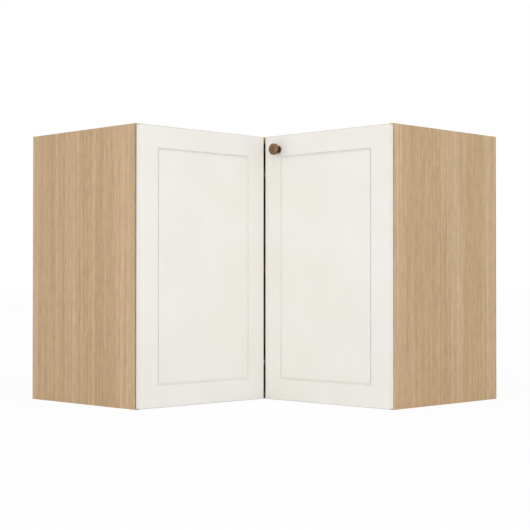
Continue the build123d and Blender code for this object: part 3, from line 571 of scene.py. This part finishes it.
def screw_outline(head_radius, head_height, shank_radius, shank_length, dome):
    """A screw's (radius, height) points from the tip to the recess, with the seat at height 0."""
    rim = head_height * (0.45 if dome else 0.9)
    crown = head_height - rim
    pointed_tip = [
        (0.12 * shank_radius, -shank_length),
        (0.8 * shank_radius, -shank_length + 1.3 * shank_radius),
        (shank_radius, -shank_length + 2.2 * shank_radius),
    ]
    underside = [
        (shank_radius, 0),
        (0.97 * head_radius, 0),
    ]
    side = [
        (head_radius, 0.08 * head_height),
        (head_radius, rim),
    ]
    top = [
        (0.94 * head_radius, rim + 0.5 * crown),
        (0.78 * head_radius, rim + 0.86 * crown),
        (0.62 * head_radius, head_height),
    ]
    return pointed_tip + underside + side + top


def cross_ring(radius, height):
    """The points round the outline of a cross-shaped driver recess."""
    arm = 0.27 * radius
    # The middle of an arm's end, the end's corner, a point further in, and the notch between arms
    first_half = [(radius, 0), (0.97 * radius, arm), (0.6 * radius, 1.12 * arm), (1.3 * arm, 1.3 * arm)]
    mirrored = [(y, x) for x, y in reversed(first_half[1:3])]
    points = []
    for quarter in range(QUARTERS):
        turn = Matrix.Rotation(math.radians(360 / QUARTERS * quarter), 3, "Z")
        points += [turn @ Vector((x, y, height)) for x, y in first_half + mirrored]
    return points


def screw_into(form, place, head_radius, head_height, shank_radius, shank_length, dome):
    """Add one screw with a cross recess to a bmesh: a domed or flat head and a pointed shank."""
    angles = [math.radians(360 / RING_POINTS * step) for step in range(RING_POINTS)]
    rings = [
        [Vector((radius * math.cos(a), radius * math.sin(a), height)) for a in angles]
        for radius, height in screw_outline(head_radius, head_height, shank_radius, shank_length, dome)
    ]
    # The recess narrows from its mouth to its floor: shares of the head's radius and height
    for width, depth in ((0.56, 0), (0.5, 0.5), (0.3, 0.68)):
        rings.append(cross_ring(width * head_radius, head_height - depth * head_height))
    made = [[form.verts.new(place @ point) for point in ring] for ring in rings]
    for one, two in zip(made[:-1], made[1:]):
        for step in range(RING_POINTS):
            after = (step + 1) % RING_POINTS
            form.faces.new((one[step], one[after], two[after], two[step]))
    form.faces.new(list(reversed(made[0])))
    form.faces.new(made[-1])


def screws(node, body, material, dome=True):
    """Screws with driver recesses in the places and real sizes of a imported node's plain ones."""
    form = bmesh.new()
    for low, high, points in solids_of(node):
        screw_into(form, *screw_facts(low, high, points), dome)
    bmesh.ops.recalc_face_normals(form, faces=form.faces)
    for face in form.faces:
        face.smooth = True
    for edge in form.edges:
        edge.smooth = edge.calc_face_angle(0) < CRISP_ANGLE
    mesh = bpy.data.meshes.new(f"{node}_recessed")
    form.to_mesh(mesh)
    form.free()
    mesh.materials.append(material)
    piece = add_object(f"{node}_recessed", mesh)
    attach(piece, body)
    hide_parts(node)


class CABINET_OT_boards(bpy.types.Operator):
    """Give every oak decor board its grain direction and its sawn edges"""

    bl_idname = "cabinet.boards"
    bl_label = "Oak boards"

    def execute(self, context):
        # Faces left raw: the ends of upright boards, and what looks at the two walls
        ends = [(0, 0, 1), (0, 0, -1)]
        walls = [(1, 0, 0), (0, 1, 0)]
        for place, grain, sawn, seed, nodes in (
            ("left flank", "Z", [(0, 1, 0), *ends], 3.7, ["left_side_panel"]),
            ("right flank", "Z", [(1, 0, 0), *ends], 5.1, ["right_side_panel"]),
            ("flat boards", "X", walls, 9.1, ["bottom_panel", "top_panel", "shelf"]),
            ("left rail", "X", walls, 12.4, ["left_back_rail"]),
            ("right rail", "Y", walls, 15.2, ["right_back_rail"]),
            ("post", "Z", ends, 20.6, ["corner_post"]),
        ):
            dress(oak_decor(f"Oak decor, {place}", grain, sawn, seed), *nodes)
        return {"FINISHED"}


class CABINET_OT_backs(bpy.types.Operator):
    """Give the two hardboard backs a painted face and a bare rear"""

    bl_idname = "cabinet.backs"
    bl_label = "Hardboard backs"

    def execute(self, context):
        dress(painted_hardboard("Painted hardboard, left", (0, -1, 0)), "left_back_panel")
        dress(painted_hardboard("Painted hardboard, right", (-1, 0, 0)), "right_back_panel")
        return {"FINISHED"}


class CABINET_OT_doors(bpy.types.Operator):
    """Lacquer the two framed doors"""

    bl_idname = "cabinet.doors"
    bl_label = "Doors"

    def execute(self, context):
        dress(sprayed_lacquer("Sprayed satin lacquer"), "left_door_panel", "right_door_panel")
        return {"FINISHED"}


class CABINET_OT_knob(bpy.types.Operator):
    """Give the knob and its rose their patina and painted shade"""

    bl_idname = "cabinet.knob"
    bl_label = "Knob"

    def execute(self, context):
        # Hands rub the head; the patina on the rim and painted shade behind the head deepen from there
        # towards the door
        low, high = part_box("knob")
        crown = (low.x, (low.y + high.y) / 2, (low.z + high.z) / 2)
        rubbed = antique_bronze("Antique bronze, rubbed", crown, rubbed_to=14 * MM, dark_from=26 * MM)
        dark = antique_bronze("Antique bronze, dark", crown, rubbed_to=14 * MM, dark_from=32 * MM)
        dress(rubbed, "knob")
        dress(dark, "knob_base")
        return {"FINISHED"}


class CABINET_OT_hinges(bpy.types.Operator):
    """Plate the hinges of the flank and of the fold"""

    bl_idname = "cabinet.hinges"
    bl_label = "Hinges"

    def execute(self, context):
        nickel = plated_metal(
            "Nickel-plated pressed steel", colours().nickel, smooth=0.22, dull=0.34, spot=9 * MM
        )
        dress(nickel, *[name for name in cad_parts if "_hinge_" in name])
        return {"FINISHED"}


class CABINET_OT_fixings(bpy.types.Operator):
    """Finish the screws, cams, bolts, nails, shelf pins, dowels and door pads"""

    bl_idname = "cabinet.fixings"
    bl_label = "Fixings"

    def execute(self, context):
        zinc = plated_metal(
            "Die-cast and plated zinc", colours().zinc, smooth=0.35, dull=0.52, spot=5 * MM
        )
        nickel = plated_metal(
            "Nickel-plated screw steel", colours().nickel, smooth=0.26, dull=0.4, spot=4 * MM
        )
        dress(zinc, "cam_locks", "cam_bolts", "back_nails")
        dress(nickel, "shelf_pins")
        screws("post_screws", "carcass", zinc, dome=False)
        screws("knob_screw", "right_door", zinc)
        for node, body in (
            ("flank_plate_screws", "carcass"),
            ("flank_arm_screws", "carcass"),
            ("fold_plate_screws", "left_door"),
            ("fold_arm_screws", "left_door"),
            ("left_cup_screws", "left_door"),
            ("right_cup_screws", "right_door"),
        ):
            screws(node, body, nickel)
        dress(turned_beech("Turned beech"), "dowels")
        dress(soft_pad("Cast polyurethane"), "left_door_bumpers", "right_door_bumpers")
        return {"FINISHED"}


def look_along(holder, direction):
    """Turn a light or a camera to look along a direction, with its top up."""
    holder.rotation_euler = direction.to_track_quat("-Z", "Y").to_euler()


def seen_directly(tree):
    """1 for camera, glossy and transmission rays, 0 for the light that falls on the object."""
    path = add_node(tree, "ShaderNodeLightPath")
    seen = path.outputs["Is Camera Ray"]
    for other in ("Is Glossy Ray", "Is Transmission Ray"):
        seen = add_node(
            tree, "ShaderNodeMath", {0: seen, 1: path.outputs[other]}, operation="MAXIMUM"
        ).outputs[0]
    return seen


class CABINET_OT_stage(bpy.types.Operator):
    """Set the pale floor, the white surround, the soft lights and the camera"""

    bl_idname = "cabinet.stage"
    bl_label = "Stage"

    def execute(self, context):
        self.floor()
        self.surround(context)
        self.lights()
        self.camera(context)
        context.scene.view_settings.view_transform = "Standard"
        return {"FINISHED"}

    def floor(self):
        mesh = bpy.data.meshes.new("floor")
        signs = ((-1, -1), (1, -1), (1, 1), (-1, 1))
        corners = [(x * FLOOR_HALF, y * FLOOR_HALF, 0) for x, y in signs]
        mesh.from_pydata(corners, [], [(0, 1, 2, 3)])
        floor = add_object("floor", mesh)
        # Matt white paint: an even ground that shows only the cabinet's soft shadow
        material, tree = start_material("Matt white studio floor")
        paint = add_node(
            tree, "ShaderNodeBsdfPrincipled", {"Base Color": FLOOR_PAINT, "Roughness": 0.9}
        )
        glow = add_node(tree, "ShaderNodeEmission", {"Color": WHITE, "Strength": SEEN_STRENGTH})
        share = add_node(
            tree, "ShaderNodeMath", {0: seen_directly(tree), 1: FLOOR_WHITENED}, operation="MULTIPLY"
        )
        blend = add_node(
            tree,
            "ShaderNodeMixShader",
            {0: share.outputs[0], 1: paint.outputs[0], 2: glow.outputs[0]},
        )
        add_node(tree, "ShaderNodeOutputMaterial", {"Surface": blend.outputs[0]})
        mesh.materials.append(material)

    def surround(self, context):
        world = bpy.data.worlds.new("White surround")
        context.scene.world = world
        world.use_nodes = True
        tree = world.node_tree
        tree.nodes.clear()
        fill, seen = (
            add_node(tree, "ShaderNodeBackground", {"Color": WHITE, "Strength": strength})
            for strength in (FILL_STRENGTH, SEEN_STRENGTH)
        )
        blend = add_node(
            tree,
            "ShaderNodeMixShader",
            {0: seen_directly(tree), 1: fill.outputs[0], 2: seen.outputs[0]},
        )
        add_node(tree, "ShaderNodeOutputWorld", {"Surface": blend.outputs[0]})

    def lights(self):
        middle = Vector((0, 0, CAD_HIGH[2] / 2))
        for name, place, side, power in SOFTBOXES:
            lamp = bpy.data.lights.new(name, "AREA")
            lamp.shape = "SQUARE"
            lamp.size = side
            lamp.energy = power
            softbox = add_object(name, lamp)
            softbox.location = place
            look_along(softbox, middle - Vector(place))

    def camera(self, context):
        size = sizes()
        lens = bpy.data.cameras.new("camera")
        lens.sensor_width = size.sensor / MM
        lens.lens = size.focal / MM
        lens.shift_x = CAMERA_SHIFT
        camera = add_object("camera", lens)
        camera.location = CAMERA_PLACE
        flat = math.cos(CAMERA_PITCH) / math.sqrt(2)
        look_along(camera, Vector((flat, flat, math.sin(CAMERA_PITCH))))
        context.scene.camera = camera


class CABINET_PT_panel(bpy.types.Panel):
    """A button for each step and a field for each colour and size"""

    bl_label = "Corner cabinet"
    bl_idname = "CABINET_PT_panel"
    bl_space_type = "VIEW_3D"
    bl_region_type = "UI"
    bl_category = "Cabinet"

    def draw(self, context):
        for step in STEPS:
            self.layout.operator(step.bl_idname)
        for group in (context.scene.cabinet_colours, context.scene.cabinet_sizes):
            column = self.layout.column(align=True)
            for name in group.__annotations__:
                column.prop(group, name)


STEPS = (
    CABINET_OT_boards,
    CABINET_OT_backs,
    CABINET_OT_doors,
    CABINET_OT_knob,
    CABINET_OT_hinges,
    CABINET_OT_fixings,
    CABINET_OT_stage,
)
CLASSES = (CabinetColours, CabinetSizes, *STEPS, CABINET_PT_panel)


def register():
    """Add the settings, the steps and the panel."""
    for cls in CLASSES:
        bpy.utils.register_class(cls)
    bpy.types.Scene.cabinet_colours = PointerProperty(type=CabinetColours)
    bpy.types.Scene.cabinet_sizes = PointerProperty(type=CabinetSizes)


def unregister():
    """Take the settings, the steps and the panel away again."""
    del bpy.types.Scene.cabinet_sizes
    del bpy.types.Scene.cabinet_colours
    for cls in reversed(CLASSES):
        bpy.utils.unregister_class(cls)


def main():
    """Register the add-on and run its steps in order."""
    register()
    bpy.ops.cabinet.boards()
    bpy.ops.cabinet.backs()
    bpy.ops.cabinet.doors()
    bpy.ops.cabinet.knob()
    bpy.ops.cabinet.hinges()
    bpy.ops.cabinet.fixings()
    bpy.ops.cabinet.stage()


if __name__ == "__main__":
    main()
